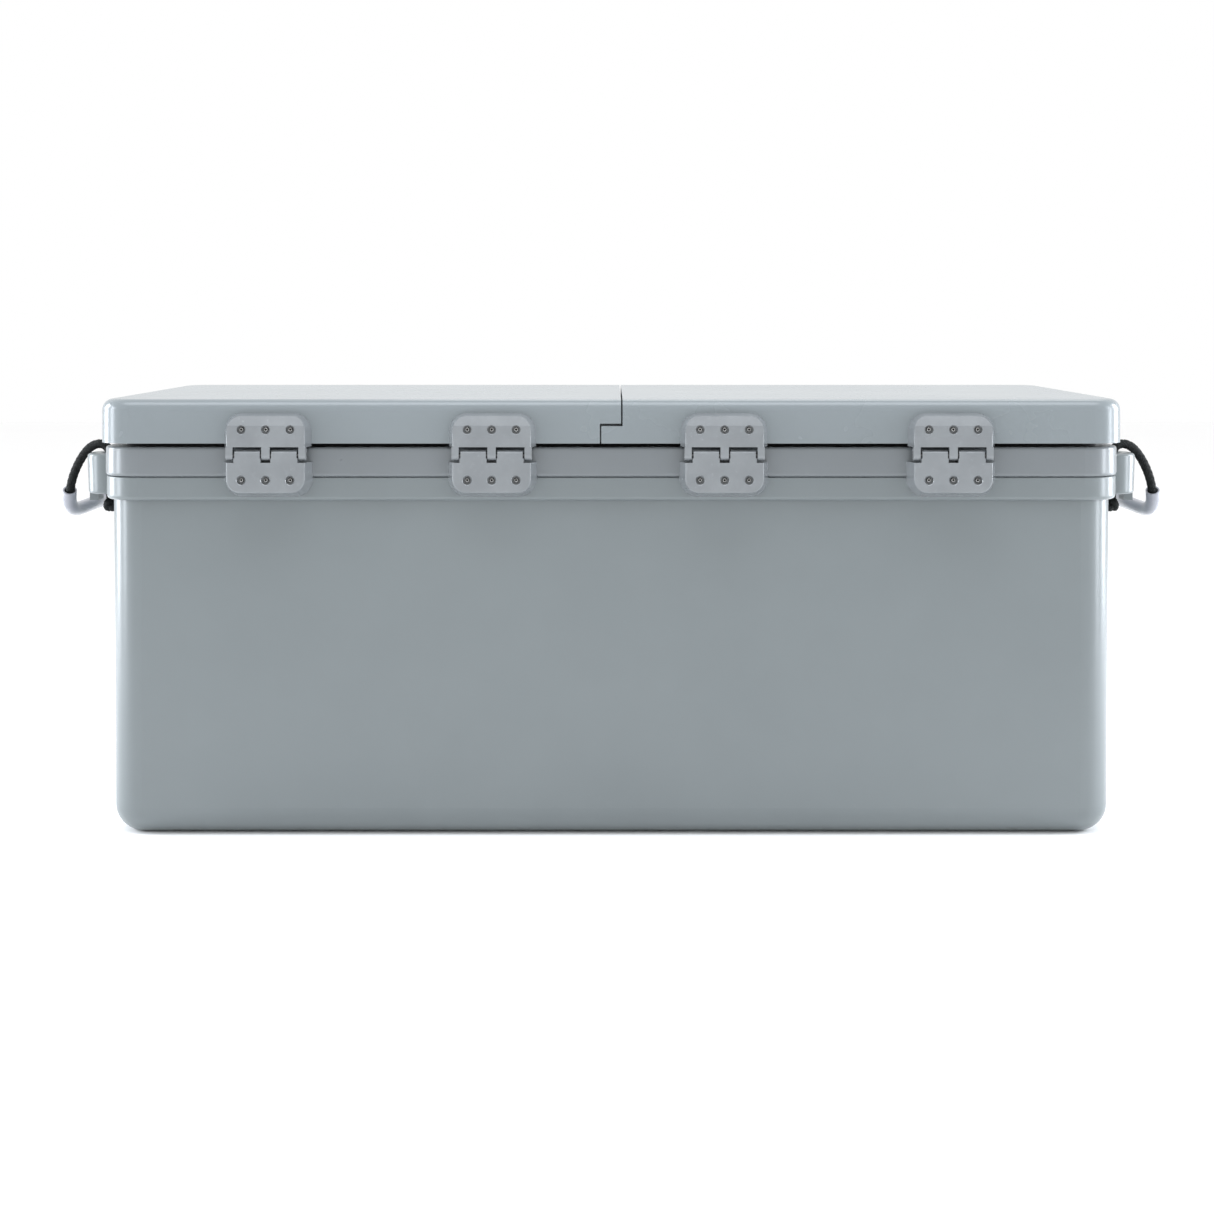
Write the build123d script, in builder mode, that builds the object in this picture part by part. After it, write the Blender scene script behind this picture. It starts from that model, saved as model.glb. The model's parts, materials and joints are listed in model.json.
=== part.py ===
from build123d import *
import math
import os

# Large insulated ice box with two independently hinged lids, rope carrying handles,
# front draw latches and a drain. Millimetres; origin at the centre of the tub's underside.
# The hinged side is the rear (+Y), the latches are on the front (-Y).

# Driving dimensions ---------------------------------------------------------------------
LID_HALF_LENGTH = 543.0
LID_HALF_WIDTH = 252.5
LID_BOTTOM = 416.8
LID_TOP = 463.3
LID_CORNER = 34.0
LID_EDGE = 12.0
SKIN = 4.0

BODY_HALF_LENGTH = 531.0
BODY_HALF_WIDTH = 238.5
BODY_CORNER = 34.0
BODY_EDGE = 30.0
BODY_DRAFT = math.degrees(math.atan(2.5 / 356.2))
LOWER_BAND = (356.2, 380.9)
LOWER_BAND_STEP = 6.9
UPPER_BAND = (381.1, 412.6)
UPPER_BAND_STEP = 8.0
SHELL_TOP = 408.6
NECK_HALF_LENGTH = 533.5
NECK_HALF_WIDTH = 241.0

BASIN_HALF_LENGTH = 488.0
BASIN_HALF_WIDTH = 196.0
BASIN_FLOOR = 52.0
BASIN_CORNER = 32.0
BASIN_DRAFT = 1.0
LINER = 3.5

# Seam between the lids: the left lid ends here, with a small tongue under the right lid
SEAM_X = -11.2
SEAM_GAP = 1.6
TONGUE_END = 10.4
TONGUE_TOP = 435.2
OVERHANG_BOTTOM = 437.8
NOTCH_FRONT = 226.0

# Hinges
HINGE_X = (-358.1, -118.7, 125.1, 361.6)
HINGE_WIDTH = 94.0
HINGE_CORNER = 20.0
HINGE_FACE = 270.5
HINGE_LOW = 360.1
HINGE_HIGH = 450.3
HINGE_DRAFT = 15.0
PIN_Y = 264.9
PIN_Z = 405.3
BARREL_R = 5.6
PIN_R = 2.5
SCREW_SEAT = 265.2
SCREW_TIP = 230.5
HEAD_HEIGHT = 3.0
SCREW_PITCH = 25.6
UPPER_SCREW_Z = 432.3
LOWER_SCREW_Z = 379.3
SCREW_R = 2.0
SCREW_BORE = 2.25
HEAD_R = 2.6
SOCKET_R = 4.6

# Rope handles
LUG_Y = 142.5
LUG_HALF_WIDTH = 36.0
LUG_REACH = 32.5
LUG_LOW = 357.3
LUG_HIGH = 401.2
ROPE_X = 552.0
ROPE_R = 5.0
ROPE_BORE = 5.7
KNOT_Z = 345.3
STUB_TOP = 392.9
GRIP_OUTER = 7.7
GRIP_INNER = 6.1

# Latches
LATCH_X = 270.0
LATCH_PIN_Y = -261.5
LATCH_PIN_Z = 437.3
BRACKET_SCREWS = (
    (-18, LATCH_PIN_Z + 7.5),
    (18, LATCH_PIN_Z + 7.5),
    (-18, LATCH_PIN_Z - 11.5),
    (18, LATCH_PIN_Z - 11.5),
)
CATCH_SCREWS = (-11, 11)
CATCH_SCREW_Z = 370.3
BAND_FRONT = -(NECK_HALF_WIDTH + LOWER_BAND_STEP)

# Drain
DRAIN_X = -440.0
DRAIN_Z = 75.0
DRAIN_TUBE_R = 12.0
DRAIN_BORE_R = 8.5
DRAIN_FLANGE_Y = (-243.3, -239.3)

os.makedirs("parts", exist_ok=True)


# Shared shapes --------------------------------------------------------------------------
def slab(half_x, half_y, corner, low, high, taper=0.0, mode=Mode.ADD):
    """Upright prism with rounded corners, centred on the box."""
    with BuildSketch(Plane.XY.offset(low)) as outline:
        RectangleRounded(2 * half_x, 2 * half_y, corner)
    extrude(outline.sketch, amount=high - low, taper=taper, mode=mode)


def block(xs, ys, zs, mode=Mode.ADD):
    """Plain block between two corners."""
    with BuildSketch(Plane.XY.offset(zs[0])) as outline:
        with Locations(((xs[0] + xs[1]) / 2, (ys[0] + ys[1]) / 2)):
            Rectangle(xs[1] - xs[0], ys[1] - ys[0])
    extrude(outline.sketch, amount=zs[1] - zs[0], mode=mode)


def rod_x(start, end, y, z, radius, mode=Mode.ADD):
    """Round bar along X."""
    plane = Plane(origin=(start, y, z), x_dir=(0, 1, 0), z_dir=(1, 0, 0))
    with BuildSketch(plane) as circle:
        Circle(radius)
    extrude(circle.sketch, amount=end - start, mode=mode)


def rod_y(x, start, end, z, radius, mode=Mode.ADD):
    """Round bar along Y, towards the rear."""
    with BuildSketch(rear_plane(x, start, z)) as circle:
        Circle(radius)
    extrude(circle.sketch, amount=end - start, mode=mode)


def rear_plane(x, y, z):
    """Plane facing the rear, its own y upwards."""
    return Plane(origin=(x, y, z), x_dir=(-1, 0, 0), z_dir=(0, 1, 0))


def profile_x(points, start, end, mode=Mode.ADD):
    """Closed (y, z) outline extruded along X."""
    plane = Plane(origin=(start, 0, 0), x_dir=(0, 1, 0), z_dir=(1, 0, 0))
    with BuildSketch(plane) as outline:
        with BuildLine():
            Polyline(*points, close=True)
        make_face()
    extrude(outline.sketch, amount=end - start, mode=mode)


def screw_row(x):
    """The three screw places of one hinge leaf, along X."""
    return [x - SCREW_PITCH, x, x + SCREW_PITCH]


def save(piece, name):
    piece.part.label = name
    export_step(piece.part, f"parts/{name}.step")


def body_solid(inset, low):
    """The tapered tub body, moved inwards by the inset."""
    half_x = BODY_HALF_LENGTH - inset
    half_y = BODY_HALF_WIDTH - inset
    with BuildPart() as solid:
        slab(half_x, half_y, BODY_CORNER - inset, low, LOWER_BAND[0], taper=-BODY_DRAFT)
        underside = solid.faces().sort_by(Axis.Z)[0]
        fillet(underside.edges(), BODY_EDGE - inset)
    return solid.part


def basin_solid(wall):
    """The basin's shape, its walls moved out by the wall thickness."""
    top_x = BASIN_HALF_LENGTH + wall
    top_y = BASIN_HALF_WIDTH + wall
    floor = BASIN_FLOOR - wall
    with BuildPart() as solid:
        with BuildSketch(Plane.XY.offset(UPPER_BAND[1])) as mouth:
            RectangleRounded(2 * top_x, 2 * top_y, BASIN_CORNER + wall)
        extrude(mouth.sketch, amount=floor - UPPER_BAND[1], taper=BASIN_DRAFT)
        bottom = solid.faces().sort_by(Axis.Z)[0]
        fillet(bottom.edges(), 18 + wall)
    return solid.part


def band_solid(step, zs, bottom_edge, top_edge):
    """One raised band round the top of the walls, with rounded outer edges."""
    with BuildPart() as band:
        slab(NECK_HALF_LENGTH + step, NECK_HALF_WIDTH + step, BODY_CORNER + step, *zs)
        fillet(band.faces().sort_by(Axis.Z)[0].edges(), bottom_edge)
        fillet(band.faces().sort_by(Axis.Z)[-1].edges(), top_edge)
    return band.part


lower_band = band_solid(LOWER_BAND_STEP, LOWER_BAND, 4.5, 2.0)
upper_band = band_solid(UPPER_BAND_STEP, UPPER_BAND, 4.0, 3.0)
tub_outside = body_solid(0, 0)
tub_inside = body_solid(SKIN, SKIN)
basin_outside = basin_solid(LINER)
basin_inside = basin_solid(0)

# Tub shell: moulded outer skin with the lower band --------------------------------------
with BuildPart() as tub_shell:
    add(tub_outside)
    add(lower_band)
    slab(NECK_HALF_LENGTH, NECK_HALF_WIDTH, BODY_CORNER, LOWER_BAND[1], SHELL_TOP)
    add(tub_inside, mode=Mode.SUBTRACT)
    slab(
        NECK_HALF_LENGTH - SKIN,
        NECK_HALF_WIDTH - SKIN,
        BODY_CORNER - SKIN,
        LOWER_BAND[0],
        SHELL_TOP,
        mode=Mode.SUBTRACT,
    )
    for hinge in HINGE_X:
        for x in screw_row(hinge):
            rod_y(x, 235, 250, LOWER_SCREW_Z, SCREW_BORE, mode=Mode.SUBTRACT)
    for latch in (-LATCH_X, LATCH_X):
        for dx in CATCH_SCREWS:
            rod_y(latch + dx, -250, -240, CATCH_SCREW_Z, SCREW_R, mode=Mode.SUBTRACT)
    rod_y(DRAIN_X, -260, -220, DRAIN_Z, DRAIN_TUBE_R, mode=Mode.SUBTRACT)
save(tub_shell, "tub_shell")

# Tub liner: basin, rim and the down-turned lip that is the upper band --------------------
with BuildPart() as tub_liner:
    add(upper_band)
    slab(
        NECK_HALF_LENGTH,
        NECK_HALF_WIDTH,
        BODY_CORNER,
        UPPER_BAND[0],
        SHELL_TOP,
        mode=Mode.SUBTRACT,
    )
    add(basin_outside)
    add(basin_inside, mode=Mode.SUBTRACT)
    mouth_edges = tub_liner.faces().sort_by(Axis.Z)[-1].inner_wires()[0].edges()
    fillet(mouth_edges, 2.5)
    for hinge in HINGE_X:
        for x in screw_row(hinge):
            rod_y(x, 235, 260, LOWER_SCREW_Z, SCREW_BORE, mode=Mode.SUBTRACT)
    rod_y(DRAIN_X, -260, -150, DRAIN_Z, DRAIN_TUBE_R, mode=Mode.SUBTRACT)
save(tub_liner, "tub_liner")

# Backing strips inside the walls, which the hinge screws bite into -----------------------
STRIP = 10.0
strip_z = (LOWER_SCREW_Z - 12, LOWER_SCREW_Z + 12)
strip_y = (NECK_HALF_WIDTH - SKIN - STRIP, NECK_HALF_WIDTH - SKIN)
with BuildPart() as tub_backing_strips:
    for hinge in HINGE_X:
        block((hinge - 42, hinge + 42), strip_y, strip_z)
        for x in screw_row(hinge):
            rod_y(x, strip_y[0], strip_y[1], LOWER_SCREW_Z, SCREW_R, mode=Mode.SUBTRACT)
save(tub_backing_strips, "tub_backing_strips")

# Foam core between the shell and the basin ----------------------------------------------
with BuildPart() as tub_foam:
    add(tub_inside)
    slab(
        NECK_HALF_LENGTH - SKIN,
        NECK_HALF_WIDTH - SKIN,
        BODY_CORNER - SKIN,
        LOWER_BAND[0],
        SHELL_TOP,
    )
    add(basin_outside, mode=Mode.SUBTRACT)
    for hinge in HINGE_X:
        block((hinge - 42, hinge + 42), strip_y, strip_z, mode=Mode.SUBTRACT)
    rod_y(DRAIN_X, -260, -150, DRAIN_Z, DRAIN_TUBE_R, mode=Mode.SUBTRACT)
save(tub_foam, "tub_foam")

# Rim gasket: the black strip that carries the closed lids --------------------------------
with BuildPart() as rim_gasket:
    slab(520.0, 224.0, 20.0, UPPER_BAND[1], LID_BOTTOM)
    slab(507.0, 211.0, 12.0, UPPER_BAND[1], LID_BOTTOM, mode=Mode.SUBTRACT)
save(rim_gasket, "rim_gasket")


# Hinge leaves ---------------------------------------------------------------------------
def hinge_envelope(x):
    """Whole hinge outline with drafted flanks, over both leaves."""
    middle = (HINGE_LOW + HINGE_HIGH) / 2
    with BuildPart() as solid:
        with BuildSketch(rear_plane(x, 247.9, middle)) as outline:
            RectangleRounded(HINGE_WIDTH, HINGE_HIGH - HINGE_LOW, HINGE_CORNER)
        extrude(outline.sketch, amount=HINGE_FACE - 247.9, taper=HINGE_DRAFT)
        fillet(solid.faces().sort_by(Axis.Y)[-1].edges(), 2.0)
    return solid.part


def counterbore(x, z):
    """Screw counterbore with a small chamfer at its mouth."""
    rod_y(x, SCREW_SEAT, 280, z, SOCKET_R, mode=Mode.SUBTRACT)
    with BuildSketch(rear_plane(x, HINGE_FACE + 0.1, z)) as mouth:
        Circle(SOCKET_R + 0.8)
    extrude(mouth.sketch, amount=-0.9, taper=45, mode=Mode.SUBTRACT)


KNUCKLES = ((-32.5, -6.0), (6.0, 32.5))
FINGERS = ((-42.0, -34.5), (-4.4, 4.4), (34.5, 42.0))
FINGER_SLOTS = ((-60, -33.5), (-5.2, 5.2), (33.5, 60))


def lower_leaf(x):
    """Leaf on the tub: two knuckles and three screw counterbores."""
    envelope = hinge_envelope(x)
    with BuildPart() as leaf:
        add(envelope)
        block((x - 60, x + 60), (240, 280), (PIN_Z - 3, 480), mode=Mode.SUBTRACT)
        block((x - 60, x + 60), (240, 249), (UPPER_BAND[0], 480), mode=Mode.SUBTRACT)
        for start, end in FINGER_SLOTS:
            block((x + start, x + end), (240, 280), (PIN_Z - 7.7, 480), mode=Mode.SUBTRACT)
        web = (PIN_Z - 6.5, PIN_Z)
        for start, end in KNUCKLES:
            block((x + start, x + end), (PIN_Y - BARREL_R, HINGE_FACE), web)
            rod_x(x + start, x + end, PIN_Y, PIN_Z, BARREL_R)
        rod_x(x - 60, x + 60, PIN_Y, PIN_Z, PIN_R, mode=Mode.SUBTRACT)
        for place in screw_row(x):
            rod_y(place, 240, 280, LOWER_SCREW_Z, SCREW_BORE, mode=Mode.SUBTRACT)
            counterbore(place, LOWER_SCREW_Z)
    return leaf


def upper_leaf(x):
    """Leaf on the lid: three fingers, a sloped upper face and three counterbores."""
    slope = [
        (HINGE_FACE + 5, PIN_Z + 19.0),
        (HINGE_FACE, PIN_Z + 19.0),
        (269.3, PIN_Z + 31.1),
        (260.5, HINGE_HIGH + 1),
        (HINGE_FACE + 5, HINGE_HIGH + 1),
    ]
    envelope = hinge_envelope(x)
    with BuildPart() as leaf:
        add(envelope)
        block((x - 60, x + 60), (240, 280), (340, PIN_Z + 8.7), mode=Mode.SUBTRACT)
        block((x - 60, x + 60), (240, LID_HALF_WIDTH), (340, 480), mode=Mode.SUBTRACT)
        profile_x(slope, x - 60, x + 60, mode=Mode.SUBTRACT)
        web = (PIN_Z, PIN_Z + 8.7)
        for start, end in FINGERS:
            block((x + start, x + end), (PIN_Y - BARREL_R, HINGE_FACE), web)
            rod_x(x + start, x + end, PIN_Y, PIN_Z, BARREL_R)
        rod_x(x - 60, x + 60, PIN_Y, PIN_Z, PIN_R + 0.06, mode=Mode.SUBTRACT)
        for place in screw_row(x):
            rod_y(place, 240, 280, UPPER_SCREW_Z, SCREW_BORE, mode=Mode.SUBTRACT)
            counterbore(place, UPPER_SCREW_Z)
    return leaf


def hinge_screw(x, z):
    """Pan head screw with a socket, seated in its counterbore."""
    rod_y(x, SCREW_TIP, SCREW_SEAT, z, SCREW_R)
    rod_y(x, SCREW_SEAT, SCREW_SEAT + HEAD_HEIGHT, z, HEAD_R)
    with BuildSketch(rear_plane(x, SCREW_SEAT + HEAD_HEIGHT, z)) as socket:
        RegularPolygon(1.6, 6)
    extrude(socket.sketch, amount=-1.8, mode=Mode.SUBTRACT)


LEAF_NAMES = ("left_outer", "left_inner", "right_inner", "right_outer")
for hinge, name in zip(HINGE_X, LEAF_NAMES):
    save(lower_leaf(hinge), f"{name}_hinge_tub_leaf")
    save(upper_leaf(hinge), f"{name}_hinge_lid_leaf")

with BuildPart() as hinge_pins:
    for hinge in HINGE_X:
        rod_x(hinge - 41.5, hinge + 41.5, PIN_Y, PIN_Z, PIN_R)
save(hinge_pins, "hinge_pins")

with BuildPart() as tub_hinge_screws:
    for hinge in HINGE_X:
        for x in screw_row(hinge):
            hinge_screw(x, LOWER_SCREW_Z)
save(tub_hinge_screws, "tub_hinge_screws")


# Lids -----------------------------------------------------------------------------------
def lid_solid(inset, low):
    """Full length lid outline with rounded corners and top edge, moved in by the inset."""
    with BuildPart() as solid:
        slab(
            LID_HALF_LENGTH - inset,
            LID_HALF_WIDTH - inset,
            LID_CORNER - inset,
            low,
            LID_TOP - inset,
        )
        fillet(solid.faces().sort_by(Axis.Z)[-1].edges(), LID_EDGE - inset)
    return solid.part


lid_outside = lid_solid(0, LID_BOTTOM)
lid_inside = lid_solid(SKIN, LID_BOTTOM)
LEFT_END = SEAM_X - SEAM_GAP / 2
RIGHT_END = SEAM_X + SEAM_GAP / 2
LID_BACKING_Y = (LID_HALF_WIDTH - SKIN - STRIP, LID_HALF_WIDTH - SKIN)
LID_BACKING_Z = (UPPER_SCREW_Z - 8, UPPER_SCREW_Z + 12)
PANEL_TOP = LID_BOTTOM + 3


def lid_span(side, inset):
    """X range that one lid covers, moved in from the seam by the inset."""
    if side == "left":
        return (-600, LEFT_END - inset)
    return (RIGHT_END + inset, 600)


def cut_notch(clearance, mode=Mode.SUBTRACT):
    """Room in the right lid for the left lid's tongue and its swing."""
    block(
        (-60, TONGUE_END + SEAM_GAP + clearance),
        (NOTCH_FRONT - clearance, 260),
        (400, OVERHANG_BOTTOM + clearance),
        mode=mode,
    )


def lid_shell(side, hinges, latch_x):
    """Moulded top skin of one lid, open underneath."""
    with BuildPart() as cavity:
        add(lid_inside)
        block(lid_span(side, SKIN), (-300, 300), (400, 480), mode=Mode.INTERSECT)
        if side == "right":
            cut_notch(SKIN)
    with BuildPart() as shell:
        add(lid_outside)
        block(lid_span(side, 0), (-300, 300), (400, 480), mode=Mode.INTERSECT)
        if side == "right":
            cut_notch(0)
        add(cavity.part, mode=Mode.SUBTRACT)
        if side == "left":
            tongue_back = LID_HALF_WIDTH - SKIN
            block(
                (LEFT_END - SKIN, TONGUE_END),
                (tongue_back, LID_HALF_WIDTH),
                (LID_BOTTOM, TONGUE_TOP),
            )
        for hinge in hinges:
            for x in screw_row(hinge):
                rod_y(x, 245, 260, UPPER_SCREW_Z, SCREW_BORE, mode=Mode.SUBTRACT)
        for dx, z in BRACKET_SCREWS:
            rod_y(latch_x + dx, -260, -245, z, SCREW_R, mode=Mode.SUBTRACT)
    return shell, cavity.part


def panel_step(cavity):
    """Shallow step under one lid that drops into the tub's mouth."""
    room = cavity.bounding_box()
    with BuildPart() as step:
        slab(480, 188, 26, LID_BOTTOM - 10.5, LID_BOTTOM)
        fillet(step.faces().sort_by(Axis.Z)[0].edges(), 4.0)
        block((room.min.X + 10, room.max.X - 10), (-300, 300), (390, 480), mode=Mode.INTERSECT)
    return step.part


def lid_panel(cavity):
    """Underside panel of one lid, with its step."""
    step = panel_step(cavity)
    with BuildPart() as panel:
        add(cavity)
        block((-600, 600), (-300, 300), (LID_BOTTOM, PANEL_TOP), mode=Mode.INTERSECT)
        add(step)
    return panel


def lid_backing(hinges):
    """Strips behind the lid's rear wall for the hinge screws."""
    with BuildPart() as strips:
        for hinge in hinges:
            block((hinge - 42, hinge + 42), LID_BACKING_Y, LID_BACKING_Z)
            for x in screw_row(hinge):
                rod_y(x, *LID_BACKING_Y, UPPER_SCREW_Z, SCREW_R, mode=Mode.SUBTRACT)
    return strips


def lid_foam(cavity, hinges, latch_x):
    """Insulation filling the space over the panel."""
    with BuildPart() as foam:
        add(cavity)
        block((-600, 600), (-300, 300), (PANEL_TOP, 480), mode=Mode.INTERSECT)
        for hinge in hinges:
            block(
                (hinge - 42, hinge + 42),
                (LID_BACKING_Y[0], 260),
                LID_BACKING_Z,
                mode=Mode.SUBTRACT,
            )
            for x in screw_row(hinge):
                rod_y(x, 230, 245, UPPER_SCREW_Z, SCREW_BORE, mode=Mode.SUBTRACT)
        for dx, z in BRACKET_SCREWS:
            rod_y(latch_x + dx, -260, -236, z, SCREW_R, mode=Mode.SUBTRACT)
    return foam


def lid_screws(hinges):
    """Hinge screws on one lid."""
    with BuildPart() as screws:
        for hinge in hinges:
            for x in screw_row(hinge):
                hinge_screw(x, UPPER_SCREW_Z)
    return screws


# Latches --------------------------------------------------------------------------------
BRACKET_BASE = -(LID_HALF_WIDTH + 3)


def latch_bracket(x):
    """Plate on the lid front with two ears that hold the latch pin."""
    with BuildPart() as bracket:
        with BuildSketch(rear_plane(x, BRACKET_BASE, LATCH_PIN_Z - 2.5)) as plate:
            RectangleRounded(66, 30, 5)
        extrude(plate.sketch, amount=3.0)
        for side in (-1, 1):
            near = x + side * 24.5 if side > 0 else x - 30.0
            ear_z = (LATCH_PIN_Z - 5.5, LATCH_PIN_Z + 5.5)
            block((near, near + 5.5), (LATCH_PIN_Y, BRACKET_BASE), ear_z)
            rod_x(near, near + 5.5, LATCH_PIN_Y, LATCH_PIN_Z, 5.5)
        rod_x(x - 40, x + 40, LATCH_PIN_Y, LATCH_PIN_Z, 2.0, mode=Mode.SUBTRACT)
        for dx, z in BRACKET_SCREWS:
            rod_y(x + dx, -260, -250, z, SCREW_R, mode=Mode.SUBTRACT)
    return bracket


def latch_screws(x, places, seat, tip):
    """Low head screws on the front."""
    with BuildPart() as screws:
        for dx, z in places:
            rod_y(x + dx, seat, tip, z, SCREW_R)
            rod_y(x + dx, seat - 1.6, seat, z, 3.2)
    return screws


def latch_flap(x):
    """Swinging flap: barrel, plate and a flared finger lip."""
    plate = [
        (-262.6, LATCH_PIN_Z - 6),
        (-262.6, LATCH_PIN_Z - 64),
        (-264.6, LATCH_PIN_Z - 74),
        (-270.5, LATCH_PIN_Z - 84),
        (-274.5, LATCH_PIN_Z - 84),
        (-269.6, LATCH_PIN_Z - 73),
        (-267.4, LATCH_PIN_Z - 63),
        (-267.4, LATCH_PIN_Z - 6),
        (-265.2, LATCH_PIN_Z + 0.5),
        (-261.5, LATCH_PIN_Z + 0.5),
    ]
    with BuildPart() as flap:
        profile_x(plate, x - 23.5, x + 23.5)
        rod_x(x - 23.5, x + 23.5, LATCH_PIN_Y, LATCH_PIN_Z, 5.0)
        rod_x(x - 30, x + 30, LATCH_PIN_Y, LATCH_PIN_Z, 2.06, mode=Mode.SUBTRACT)
        with BuildSketch(rear_plane(x, -275, LATCH_PIN_Z - 39)) as window:
            SlotOverall(30, 10)
        extrude(window.sketch, amount=20, mode=Mode.SUBTRACT)
    return flap


def latch_pin(x):
    with BuildPart() as pin:
        rod_x(x - 30, x + 30, LATCH_PIN_Y, LATCH_PIN_Z, 2.0)
    return pin


LIDS = {
    "left": (HINGE_X[:2], -LATCH_X),
    "right": (HINGE_X[2:], LATCH_X),
}
for side, (hinges, latch_x) in LIDS.items():
    shell, cavity = lid_shell(side, hinges, latch_x)
    save(shell, f"{side}_lid_shell")
    save(lid_panel(cavity), f"{side}_lid_panel")
    save(lid_foam(cavity, hinges, latch_x), f"{side}_lid_foam")
    save(lid_backing(hinges), f"{side}_lid_backing")
    save(lid_screws(hinges), f"{side}_lid_hinge_screws")
    save(latch_bracket(latch_x), f"{side}_latch_bracket")
    save(latch_screws(latch_x, BRACKET_SCREWS, BRACKET_BASE, -238), f"{side}_latch_screws")
    save(latch_pin(latch_x), f"{side}_latch_pin")
    save(latch_flap(latch_x), f"{side}_latch_flap")

# Seal strip in the seam, on the left lid's end ------------------------------------------
with BuildPart() as left_lid_seam_seal:
    block((LEFT_END, LEFT_END + 1.2), (-215, 215), (LID_BOTTOM + 4, LID_BOTTOM + 16))
save(left_lid_seam_seal, "left_lid_seam_seal")

# Catches under the latch flaps ----------------------------------------------------------
with BuildPart() as latch_catches:
    catch = [
        (BAND_FRONT, LATCH_PIN_Z - 77),
        (-258, LATCH_PIN_Z - 77),
        (-262.0, LATCH_PIN_Z - 70),
        (-262.0, LATCH_PIN_Z - 63),
        (-258.5, LATCH_PIN_Z - 57.6),
        (BAND_FRONT, LATCH_PIN_Z - 57.6),
    ]
    for x in (-LATCH_X, LATCH_X):
        profile_x(catch, x - 20, x + 20)
        for dx in CATCH_SCREWS:
            rod_y(x + dx, -262, -247, CATCH_SCREW_Z, SCREW_R, mode=Mode.SUBTRACT)
            rod_y(x + dx, -263, -257, CATCH_SCREW_Z, 3.6, mode=Mode.SUBTRACT)
save(latch_catches, "latch_catches")

with BuildPart() as catch_screws:
    for x in (-LATCH_X, LATCH_X):
        for dx in CATCH_SCREWS:
            rod_y(x + dx, -257, -240, CATCH_SCREW_Z, SCREW_R)
            rod_y(x + dx, -259, -257, CATCH_SCREW_Z, HEAD_R)
save(catch_screws, "catch_screws")

# Drain fitting, seal ring and screw plug ------------------------------------------------
with BuildPart() as drain_fitting:
    rod_y(DRAIN_X, *DRAIN_FLANGE_Y, DRAIN_Z, 20.0)
    fillet(drain_fitting.faces().sort_by(Axis.Y)[0].edges(), 1.5)
    rod_y(DRAIN_X, DRAIN_FLANGE_Y[1], -189.5, DRAIN_Z, DRAIN_TUBE_R - 0.05)
    rod_y(DRAIN_X, -260, -150, DRAIN_Z, DRAIN_BORE_R, mode=Mode.SUBTRACT)
save(drain_fitting, "drain_fitting")

SEAL_Y = (DRAIN_FLANGE_Y[0] - 2.05, DRAIN_FLANGE_Y[0] - 0.05)
with BuildPart() as drain_seal:
    rod_y(DRAIN_X, *SEAL_Y, DRAIN_Z, 12.5)
    rod_y(DRAIN_X, *SEAL_Y, DRAIN_Z, 9.0, mode=Mode.SUBTRACT)
save(drain_seal, "drain_seal")

HEAD_BACK = SEAL_Y[0] - 0.05
with BuildPart() as drain_plug:
    rod_y(DRAIN_X, HEAD_BACK - 9, HEAD_BACK, DRAIN_Z, 14.0)
    chamfer(drain_plug.faces().sort_by(Axis.Y)[0].edges(), 1.2)
    with BuildSketch(rear_plane(DRAIN_X, HEAD_BACK - 9, DRAIN_Z)) as scallops:
        with PolarLocations(15.2, 12):
            Circle(2.2)
    extrude(scallops.sketch, amount=9, mode=Mode.SUBTRACT)
    rod_y(DRAIN_X, HEAD_BACK, -222, DRAIN_Z, DRAIN_BORE_R - 0.06)
save(drain_plug, "drain_plug")

# Rope handles ---------------------------------------------------------------------------
# Half of the rope's route at the right end, from the lug's mouth to beside the middle.
# The other half mirrors it across the middle, and the left end mirrors both.
ROPE_ROUTE = [
    (ROPE_X, LUG_Y, 398.3),
    (552.9, 142.1, 402.9),
    (556.0, 140.9, 407.4),
    (560.9, 138.9, 410.0),
    (567.4, 136.1, 410.2),
    (576.2, 131.6, 406.5),
    (584.8, 126.6, 397.9),
    (592.6, 121.2, 386.3),
    (599.6, 115.0, 372.3),
    (604.6, 107.8, 356.6),
    (607.4, 98.4, 343.2),
    (607.4, 84.0, 334.8),
    (606.2, 66.0, 332.2),
    (603.8, 40.0, 332.8),
    (602.0, 13.0, 333.6),
]
GRIP_START = 9


def whole_route(side, start=0):
    """Rope route of one handle, from its given point to the matching point opposite."""
    half = [Vector(side * x, y, z) for x, y, z in ROPE_ROUTE[start:]]
    return half + [Vector(p.X, -p.Y, p.Z) for p in reversed(half)]


def corner_radii(route):
    """Largest smooth arc at each corner of a route."""
    radii = []
    for before, here, after in zip(route, route[1:], route[2:]):
        first, second = here - before, after - here
        turn = math.radians(first.get_angle(second))
        run = min(first.length, second.length)
        radii.append(0.45 * run / math.tan(turn / 2))
    return radii


def tube(route, radius):
    """Solid round tube along a route of straight runs and tangent arcs."""
    with BuildPart() as solid:
        with BuildLine() as path:
            FilletPolyline(*route, radius=corner_radii(route))
        with BuildSketch(Plane(origin=path.line @ 0, z_dir=path.line % 0)):
            Circle(radius)
        sweep()
    return solid.part, path.wire().length


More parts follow.
